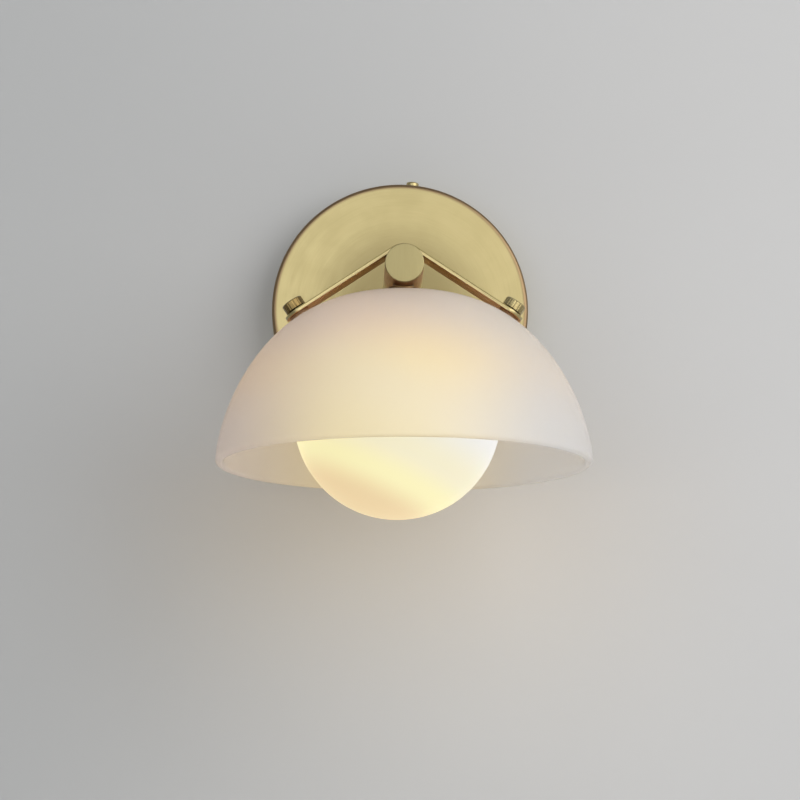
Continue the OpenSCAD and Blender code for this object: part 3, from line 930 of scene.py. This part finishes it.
@dataclass
class Strap:
    """The flat brass strap, bent over the arm, and the screw on its crown."""

    shop: Workshop
    inner: float = 9.22 * MM
    thickness: float = 1.7 * MM
    edge: float = 0.45 * MM
    hole: float = 2.4 * MM
    end_back: float = 1.5 * MM
    lean_degrees: float = 2.6
    crown_step: float = 3.0
    end_steps: int = 24
    # Painted highlight on the strap's front face.
    front_highlight_tone: Colour = (0.54, 0.445, 0.225)
    # Painted shade and brown painted reflection on the strap's underside.
    underside_reflection_tone: Colour = (0.50, 0.235, 0.075)
    # Painted dark reflection along the top arris of the front face.
    arris_shade_tone: Colour = (0.25, 0.205, 0.085)

    def __post_init__(self) -> None:
        """Reads the strap's place, width and fall."""
        low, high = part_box("yoke_strap")
        self.width = high.y - low.y
        self.middle = 0.5 * (high.y + low.y)
        told = self.shop.joints["right_thumbscrew_turn"]
        axis, stud = Vector(told["axis"]), Vector(told["pos_m"])
        self.fall = math.atan2(axis.x, axis.z)
        self.crown = self.inner * self.fall
        self.run = (stud.x - self.inner * math.sin(self.fall)) / math.cos(self.fall)

    def build(self) -> None:
        """Cuts the strap flat, bends it and dresses its screw."""
        mesh = self._blank()
        for point in mesh.verts:
            point.co = self._bent(point.co)
        face, outer = -0.5 * self.width, self.inner + self.thickness
        # The strap's front face gets a painted highlight.
        front = PaintedZone(Measure.ACROSS, face + 0.45 * MM, face + 0.1 * MM, self.front_highlight_tone)
        zones = (
            # Painted shade and painted reflection on the underside.
            PaintedZone(Measure.HEIGHT, self.inner + 0.5 * MM, self.inner + 0.2 * MM, self.underside_reflection_tone),
            front,
            # Painted dark reflection along the top arris.
            PaintedZone(Measure.HEIGHT, outer - 0.62 * MM, outer - 0.38 * MM, self.arris_shade_tone, within=front),
        )
        middle = Matrix.Translation((0, self.middle, 0))
        brushed = {"roughness": 0.24, "brush": Brush.STRAP, "strap_fall": self.fall}
        brass = Brass("strap_brass", middle, zones=zones, **brushed)
        self.shop.add("strap", mesh, Matrix.Identity(4), brass, "yoke_strap")
        self.shop.dress(Brass("screw_brass", middle), "yoke_screw")

    def _blank(self) -> Mesh:
        """The strap before it is bent: X along it, Y across it, Z up from its underside."""
        mesh = bmesh.new()
        reach, half = self.crown + self.run, 0.5 * self.width
        right = arc((reach - self.end_back, 0.0), half, -90, 90, self.end_steps)
        left = arc((self.end_back - reach, 0.0), half, 90, 270, self.end_steps)
        rim = [mesh.verts.new((x, y, 0.0)) for x, y in right + left]
        edges = [mesh.edges.new(pair) for pair in zip(rim, rim[1:] + rim[:1])]
        for centre in (-reach, self.inner * math.radians(self.lean_degrees), reach):
            place = Matrix.Translation((centre, 0.0, 0.0))
            made = bmesh.ops.create_circle(mesh, cap_ends=False, radius=self.hole, segments=32, matrix=place)
            edges += {edge for point in made["verts"] for edge in point.link_edges}
        bmesh.ops.triangle_fill(mesh, use_beauty=True, use_dissolve=False, edges=edges)
        steps = math.ceil(2 * math.degrees(self.fall) / self.crown_step)
        for i in range(steps + 1):
            cut = -self.crown + 2 * self.crown * i / steps
            everything = mesh.verts[:] + mesh.edges[:] + mesh.faces[:]
            bmesh.ops.bisect_plane(mesh, geom=everything, plane_co=(cut, 0, 0), plane_no=(1, 0, 0), dist=1e-7)
        top = bmesh.ops.extrude_face_region(mesh, geom=mesh.faces[:])
        risen = [item for item in top["geom"] if isinstance(item, bmesh.types.BMVert)]
        bmesh.ops.translate(mesh, vec=(0, 0, self.thickness), verts=risen)
        bmesh.ops.recalc_face_normals(mesh, faces=mesh.faces)
        soften(mesh, self.edge, least=60.0)
        return mesh

    def _bent(self, flat: Vector) -> Vector:
        """Bends a point of the flat strap round the arm.

        Args:
            flat: The point: along, across and up.

        Returns:
            Its place in the part's frame.
        """
        side = math.copysign(1.0, flat.x)
        turned = min(abs(flat.x), self.crown) / self.inner
        past = max(abs(flat.x) - self.crown, 0.0)
        radius = self.inner + flat.z
        x = side * (radius * math.sin(turned) + past * math.cos(self.fall))
        z = radius * math.cos(turned) - past * math.sin(self.fall)
        return Vector((x, self.middle + flat.y, z))


@dataclass
class ThumbFitting:
    """One thumbscrew with its washer, and what clamps the dome on it."""

    shop: Workshop
    side: str
    screw_body: Body
    washer_body: Body
    # tones: the knob's lit brass on the right, and its painted-shade copy on the left.
    tones: tuple[Colour, Colour]
    head_radius: float = 5.15 * MM
    head_height: float = 4.6 * MM
    seat: float = 2.4 * MM
    shaft_radius: float = 2.0 * MM
    shaft_end: float = -11.4 * MM
    pitch: float = 0.7 * MM
    thread_depth: float = 0.35 * MM
    chamfer: float = 0.45 * MM
    dish_in: float = 1.3 * MM
    dish_slope: float = 0.5 * MM
    dish_depth: float = 0.35 * MM
    flutes: int = 12
    flute_steps: int = 12
    flute_depth: float = 0.28 * MM
    groove_width: float = 0.32 * MM
    rim_depth: float = 1.2 * MM
    washer_radius: float = 3.8 * MM
    washer_bottom: float = 1.72 * MM
    washer_height: float = 0.64 * MM
    washer_gap: float = 0.05 * MM
    washer_edge: float = 0.12 * MM

    def build(self) -> None:
        """Makes the screw and the washer and dresses the rest."""
        side, place = self.side, self.shop.axis_frame(f"{self.side}_thumbscrew_turn")
        # The knob's tones are a lit copy of the brass on the right and painted shade on the left.
        brass = Brass(f"{side}_screw_brass", place, *self.tones, roughness=0.2)
        knob = (f"{side}_thumb_knob", self._screw(), place, brass, f"{side}_thumbscrew")
        self.shop.add(*knob, body=self.screw_body, crease=20.0)
        dark = Brass("washer_brass", place, (0.42, 0.31, 0.16), (0.33, 0.24, 0.12), roughness=0.45)
        washer = (f"{side}_dark_washer", self._washer(), place, dark, f"{side}_thumb_washer")
        self.shop.add(*washer, body=self.washer_body, slot=Slot.DARK_BRASS)
        rubber = Moulded("brown_rubber", (0.31, 0.185, 0.085), (0.25, 0.145, 0.065), roughness=0.6)
        self.shop.dress(rubber, f"{side}_outer_seal", f"{side}_inner_seal")
        self.shop.dress(SILICONE, f"{side}_grommet")
        self.shop.dress(Brass(f"{side}_nut_brass", place, roughness=0.3), f"{side}_shade_nut")

    def _screw(self) -> Mesh:
        """The fluted head with its threaded shaft."""
        top, chamfer = self.seat + self.head_height, self.chamfer
        rim = self.head_radius / math.cos(math.pi / self.flutes)
        root, dish, sunk = self.shaft_radius - self.thread_depth, rim - self.dish_in, top - self.dish_depth
        outline = [(0.0, self.shaft_end), (root, self.shaft_end)]
        turns = int((self.seat - self.shaft_end) / self.pitch)
        for i in range(turns):
            foot = self.shaft_end + (i + 0.5) * self.pitch
            outline += [(self.shaft_radius, foot), (root, foot + 0.5 * self.pitch)]
        outline += [(root, self.seat), (rim - 2 * chamfer, self.seat)]
        outline += [(rim, self.seat + chamfer), (rim, top - chamfer), (rim - chamfer, top), (dish, top)]
        outline += [(dish - self.dish_slope, sunk), (0.0, sunk)]
        mesh = turn(outline, closed=False, segments=self.flutes * self.flute_steps)
        for point in mesh.verts:
            self._press_flute(point, rim)
        return mesh

    def _press_flute(self, point: bmesh.types.BMVert, rim: float) -> None:
        """Moves a point of the head's rim in to a flat facet, or into the groove between two.

        Args:
            point: The point.
            rim: Radius over the facets' corners.
        """
        radius = point.co.xy.length
        if point.co.z < self.seat - 1e-6 or radius < rim - self.rim_depth:
            return
        facet = FULL_TURN / self.flutes
        angle = math.atan2(point.co.y, point.co.x) % facet
        flat = self.head_radius / math.cos(angle - 0.5 * facet)
        to_corner = min(angle, facet - angle) * rim
        groove = self.flute_depth * math.exp(-((to_corner / self.groove_width) ** 2))
        share = (flat - groove) / rim
        point.co.x *= share
        point.co.y *= share

    def _washer(self) -> Mesh:
        """The thin washer in the gap below the head."""
        bore, top = self.shaft_radius + self.washer_gap, self.washer_bottom + self.washer_height
        outline = [(bore, self.washer_bottom), (self.washer_radius, self.washer_bottom)]
        outline += [(self.washer_radius, top), (bore, top)]
        mesh = turn(outline, segments=64)
        soften(mesh, self.washer_edge)
        return mesh


@dataclass
class Dome:
    """The frosted glass dome and the washers at its crown."""

    shop: Workshop
    glass: float = 4.0 * MM
    crown_power: float = 2.6
    side_power: float = 1.55
    crown_hole: float = 6.5 * MM
    stud_hole: float = 3.5 * MM
    stud_reach: float = 16.0 * MM
    steps: int = 56
    lip_steps: int = 12

    def __post_init__(self) -> None:
        """Reads the dome's size."""
        self.low, self.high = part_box("shade")
        self.radius = 0.5 * (self.high.x - self.low.x)
        self.axis_y = 0.5 * (self.high.y + self.low.y)
        self.lip = 0.5 * self.glass

    def build(self) -> None:
        """Turns the dome and dresses its washers."""
        place = Matrix.Translation((0.0, self.axis_y, self.low.z + self.lip))
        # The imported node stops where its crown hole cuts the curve, so the full height is a little more.
        height = self._full_height()
        outer = self._face(self.radius, height)
        inner = self._face(self.radius - self.glass, height - self.glass)
        lip = arc((self.radius - self.lip, 0.0), self.lip, 0, -180, self.lip_steps)
        dome = self._drilled(turn(outer[::-1] + lip[1:-1] + inner, segments=192), place)
        frosted = FrostedGlass(crown_z=self.high.z, rim_z=self.low.z)
        self.shop.add("glass_dome", dome, place, frosted, "shade", slot=Slot.FROSTED)
        # The crown washer's dark brown is painted shade between the arm and the dome.
        dark = Brass("shaded_crown_washer_brass", place, (0.24, 0.15, 0.065), (0.19, 0.115, 0.05), 0.45)
        self.shop.dress(dark, "shade_top_washer")
        self.shop.dress(SILICONE, "shade_inner_washer")
        # The stem's steel is painted dark brown as shade under the arm.
        shaded_stem_steel = Steel("stem_shade_steel", (0.34, 0.25, 0.13), (0.25, 0.18, 0.09))
        self.shop.dress(shaded_stem_steel, "stem_nipple", "stem_lock_nut")

    def _drilled(self, mesh: Mesh, place: Matrix) -> Mesh:
        """Cuts the two holes that the thumbscrews pass through.

        Args:
            mesh: The turned dome, in its own frame.
            place: Where the dome goes.

        Returns:
            The drilled dome.
        """
        blank, drill = bpy.data.meshes.new("blank"), bpy.data.meshes.new("drill")
        mesh.to_mesh(blank)
        mesh.clear()
        for side in ("left", "right"):
            spot = place.inverted() @ self.shop.axis_frame(f"{side}_thumbscrew_turn")
            spot @= Matrix.Translation((0.0, 0.0, -self.stud_reach / 2))
            ends = {"radius1": self.stud_hole, "radius2": self.stud_hole, "depth": self.stud_reach}
            bmesh.ops.create_cone(mesh, cap_ends=True, segments=48, matrix=spot, **ends)
        mesh.to_mesh(drill)
        mesh.free()
        glass, cutter = (linked(data.name, data) for data in (blank, drill))
        cut = glass.modifiers.new("holes", "BOOLEAN")
        cut.object, cut.operation, cut.solver = cutter, "DIFFERENCE", "EXACT"
        result = bmesh.new()
        result.from_object(glass, bpy.context.evaluated_depsgraph_get())
        for item in (glass, cutter):
            data = item.data
            bpy.data.objects.remove(item)
            bpy.data.meshes.remove(data)
        return result

    def _full_height(self) -> float:
        """Height of the outer face's apex over its base, worked back from where the crown hole cuts it."""
        cut = self.high.z - self.low.z - self.lip
        share = (self.crown_hole / self.radius) ** (self.crown_power / 2)
        return cut / math.sin(math.acos(share)) ** (2 / self.side_power)

    def _face(self, radius: float, height: float) -> Outline:
        """One face of the dome, from its base up to the crown hole.

        Args:
            radius: Its radius at the base.
            height: Its height on the axis.

        Returns:
            The face's outline.
        """
        last = math.acos((self.crown_hole / radius) ** (self.crown_power / 2))
        angles = [last * (i / self.steps) ** 0.9 for i in range(self.steps + 1)]
        return [
            (radius * math.cos(a) ** (2 / self.crown_power), height * math.sin(a) ** (2 / self.side_power))
            for a in angles
        ]


@dataclass
class Lantern:
    """The cup under the dome, and the globe with its collar, holder and lamp."""

    shop: Workshop
    glass: float = 3.0 * MM
    neck: float = 20.9 * MM
    neck_top: float = 23.0 * MM
    fillet: float = 2.5 * MM
    steps: int = 72

    def __post_init__(self) -> None:
        """Reads the globe's size and the stem's frame."""
        low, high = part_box("globe")
        self.radius = 0.5 * (high.x - low.x)
        self.stem = self.shop.axis_frame("globe_turn")
        self.up = self.stem @ Matrix.Rotation(math.pi, 4, "Y")
        self.centre = Vector((0.5 * (low.x + high.x), 0.5 * (low.y + high.y), low.z + self.radius))
        self.drop = (self.centre - self.stem.to_translation()).length

    def build(self) -> None:
        """Turns the globe and dresses the cup, the holder and the lamp."""
        opal = OpalGlass("opal_glass", self.centre, self.radius)
        self.shop.add("opal_globe", self._globe(), self.up, opal, "globe", body=Body.GLOBE, slot=Slot.OPAL)
        self.shop.dress(Brass("cup_brass", self.up), "globe_cup")
        self.shop.dress(Steel(), "globe_collar", "socket_cap", "bulb_pins")
        self.shop.dress(SILICONE, "globe_gasket")
        ceramic = Moulded("ceramic", (0.84, 0.82, 0.76), (0.76, 0.73, 0.67), roughness=0.5)
        self.shop.dress(ceramic, "socket_body", "bulb_base")
        tones = ((0.62, 0.46, 0.22), (0.52, 0.38, 0.18))
        self.shop.dress(Brass("contact_brass", self.up, *tones, brush=Brush.STRAIGHT), "socket_contacts")
        board = Moulded("led_board", (0.82, 0.83, 0.78), (0.72, 0.73, 0.66), roughness=0.4)
        self.shop.dress(board, "bulb_led_board")
        low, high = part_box("bulb_envelope")
        lamp = OpalGlass("lamp_glass", 0.5 * (low + high), 0.5 * (high.z - low.z), warm=(0.95, 0.78, 0.5))
        self.shop.dress(lamp, "bulb_envelope")

    def _globe(self) -> Mesh:
        """The globe and its neck, with Z pointing up the stem and 0 on the arm's axis."""
        outline = self._shell(self.radius, self.neck)
        inner = self._shell(self.radius - self.glass, self.neck - self.glass)
        return turn(outline + inner[::-1], segments=144)

    def _shell(self, radius: float, neck: float) -> list[Span]:
        """One face of the globe, from its lowest point up to the mouth of its neck.

        Args:
            radius: The face's radius.
            neck: The neck's radius on that face.

        Returns:
            The face's outline.
        """
        reach, joint_x = radius + self.fillet, neck + self.fillet
        meet = math.degrees(math.acos(joint_x / reach))
        joint = (joint_x, -self.drop + reach * math.sin(math.radians(meet)))
        ball = arc((0.0, -self.drop), radius, -90, meet, self.steps)
        ball[0] = (0.0, -self.drop - radius)
        hollow = arc(joint, self.fillet, 180 + meet, 180, 6)
        return ball + hollow[1:] + [(neck, -self.neck_top)]


@dataclass
class Wiring:
    """The leads and their connectors inside the canopy and the arm."""

    shop: Workshop

    def build(self) -> None:
        """Dresses the wires."""
        wires = (
            ("live_lead", "black_insulation", (0.03, 0.03, 0.03), (0.02, 0.02, 0.02), 0.5),
            ("neutral_lead", "white_insulation", (0.78, 0.78, 0.75), (0.70, 0.70, 0.67), 0.5),
            ("ground_lead", "green_insulation", (0.07, 0.25, 0.10), (0.05, 0.20, 0.08), 0.5),
            ("wire_connectors", "connector_nylon", (0.72, 0.30, 0.05), (0.62, 0.24, 0.04), 0.45),
        )
        for node, *finish in wires:
            self.shop.dress(Moulded(*finish), node)


# ---------------------------------------------------------------- studio


def turn_to(item: Item, aim: Vector) -> None:
    """Turns a light or a camera to look along a direction."""
    item.rotation_mode = "QUATERNION"
    item.rotation_quaternion = aim.to_track_quat("-Z", "Y")


@dataclass
class Studio:
    """The wall and floor, the soft lights and the camera."""

    shop: Workshop
    wall_reach: float = 3.0
    floor_z: float = -1.6
    wall_gap: float = 0.05 * MM
    box_hole: float = 58 * MM
    sconce: Triple = (0.0, -0.1, -0.05)
    camera_at: Triple = (-0.040, -2.3429, -0.4247)
    camera_pitch: float = 9.28
    camera_yaw: float = 0.986
    camera_lens: float = 214.35
    sensor: float = 36.0
    greys: tuple[Span, ...] = ((0.0, 0.26), (0.28, 0.30), (0.50, 0.60), (0.75, 0.74), (1.0, 0.68))
    above: Colour = (0.29, 0.29, 0.30)
    below: Colour = (0.30, 0.275, 0.24)

    def build(self) -> None:
        """Makes the stage, the lights and the camera."""
        wall = self._stage()
        self._light("key", (1.6, -1.9, 0.7), 2.3, 39.0, (1.0, 0.99, 0.97))
        self._light("fill", (-0.9, -2.6, 0.2), 2.0, 16.5, (0.96, 0.98, 1.0))
        self._lamp_glow(wall)
        self._world()
        self._camera()
        view = bpy.context.scene.view_settings
        view.view_transform = "Standard"

    def _stage(self) -> Item:
        """A wall behind the canopy, with the wall box's round hole, and a floor far below.

        Returns:
            The wall.
        """
        place = Matrix.Translation((0.0, self.wall_gap, 0.0)) @ Matrix.Rotation(math.pi / 2, 4, "X")
        sheet = self._sheet(place)
        bmesh.ops.delete(sheet, geom=sheet.faces[:], context="FACES_ONLY")
        bmesh.ops.create_circle(sheet, cap_ends=False, radius=self.box_hole, segments=64, matrix=place)
        rims, front = sheet.edges[:], place.to_3x3() @ Vector((0.0, 0.0, 1.0))
        bmesh.ops.triangle_fill(sheet, use_beauty=True, use_dissolve=False, edges=rims, normal=front)
        # Painted light: the wall is darker on the left and lighter on the right, where the lamps are.
        paint = Paint("wall_paint", (0.455, 0.462, 0.464), (0.583, 0.583, 0.583))
        wall = self.shop.show("wall", sheet, paint)
        pale = Paint("floor_paint", (0.83, 0.835, 0.835), (0.85, 0.845, 0.84))
        middle = Matrix.Translation((0.0, -self.wall_reach, self.floor_z))
        floor = self.shop.show("floor", self._sheet(middle), pale)
        return wall

    def _sheet(self, place: Matrix) -> Mesh:
        """A large flat square.

        Args:
            place: Where it lies.

        Returns:
            The square.
        """
        mesh = bmesh.new()
        bmesh.ops.create_grid(mesh, x_segments=1, y_segments=1, size=self.wall_reach, matrix=place)
        return mesh

    def _lamp_glow(self, wall: Item) -> None:
        """The warm light that the globe throws on the wall under the dome.

        Args:
            wall: The wall, which alone takes this light.
        """
        light = self._light("lamp_glow", (0.0, -0.09, -0.106), 0.20, 0.031, (1.0, 0.65, 0.24))
        light.data.shape, light.data.size_y = "RECTANGLE", 0.02
        turn_to(light, Vector((0.0, 1.0, 0.0)))
        light.visible_camera = light.visible_glossy = False
        lit = bpy.data.collections.new("lamp_glow_falls_on")
        lit.objects.link(wall)
        light.light_linking.receiver_collection = lit

    def _light(self, name: str, at: Sequence[float], size: float, power: float, colour: Colour) -> Item:
        """A square soft light that faces the sconce.

        Args:
            name: Its name.
            at: Its place.
            size: Length of its sides.
            power: Its power, in watts.
            colour: Its colour.

        Returns:
            The light.
        """
        data = bpy.data.lights.new(name, "AREA")
        data.shape = "SQUARE"
        data.size, data.energy, data.color = size, power, colour
        light = linked(name, data)
        light.location = at
        turn_to(light, Vector(self.sconce) - Vector(at))
        return light

    def _world(self) -> None:
        """A soft pale surround, darker to the left, above and below, and light to the right."""
        world = bpy.data.worlds.new("surround")
        world.use_nodes = True
        graph = Graph(world.node_tree)
        back = world.node_tree.nodes["Background"]
        side, _, up = graph.axes(graph.node("TexCoord").outputs["Generated"])
        level = graph.math("MULTIPLY_ADD", side, 0.5, 0.5)
        across = graph.ramp(level, [(place, (grey, grey, grey)) for place, grey in self.greys])
        over = graph.mix(graph.span(up, (0.2, 0.8)), across, self.above)
        soft = graph.mix(graph.span(up, (-0.15, -0.8)), over, self.below)
        graph.put(back, {"Color": soft, "Strength": 1.0})
        bpy.context.scene.world = world

    def _camera(self) -> None:
        """The camera, below the sconce and looking up at it."""
        data = bpy.data.cameras.new("camera")
        data.sensor_width, data.lens = self.sensor, self.camera_lens
        data.clip_start, data.clip_end = 0.1, 20.0
        camera = linked("camera", data)
        pitch, yaw = math.radians(self.camera_pitch), math.radians(self.camera_yaw)
        camera.location = self.camera_at
        aim = (math.sin(yaw) * math.cos(pitch), math.cos(yaw) * math.cos(pitch), math.sin(pitch))
        turn_to(camera, Vector(aim))
        bpy.context.scene.camera = camera


def main() -> None:
    """Loads the part, makes every sub-assembly and sets the studio."""
    logging.basicConfig(level=logging.INFO, format="%(name)s: %(message)s")
    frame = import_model()
    shop = Workshop(frame)
    parts: list[Canopy | Arm | Strap | ThumbFitting | Dome | Lantern | Wiring | Studio] = [
        Canopy(shop),
        Arm(shop),
        Strap(shop),
        ThumbFitting(shop, "left", Body.LEFT_SCREW, Body.LEFT_WASHER, LEFT_KNOB_SHADED_TONES),
        ThumbFitting(shop, "right", Body.RIGHT_SCREW, Body.RIGHT_WASHER, RIGHT_KNOB_LIT_TONES),
        Dome(shop),
        Lantern(shop),
        Wiring(shop),
        Studio(shop),
    ]
    for part in parts:
        part.build()
        LOG.info("%s is done", type(part).__name__)


if __name__ == "__main__":
    main()
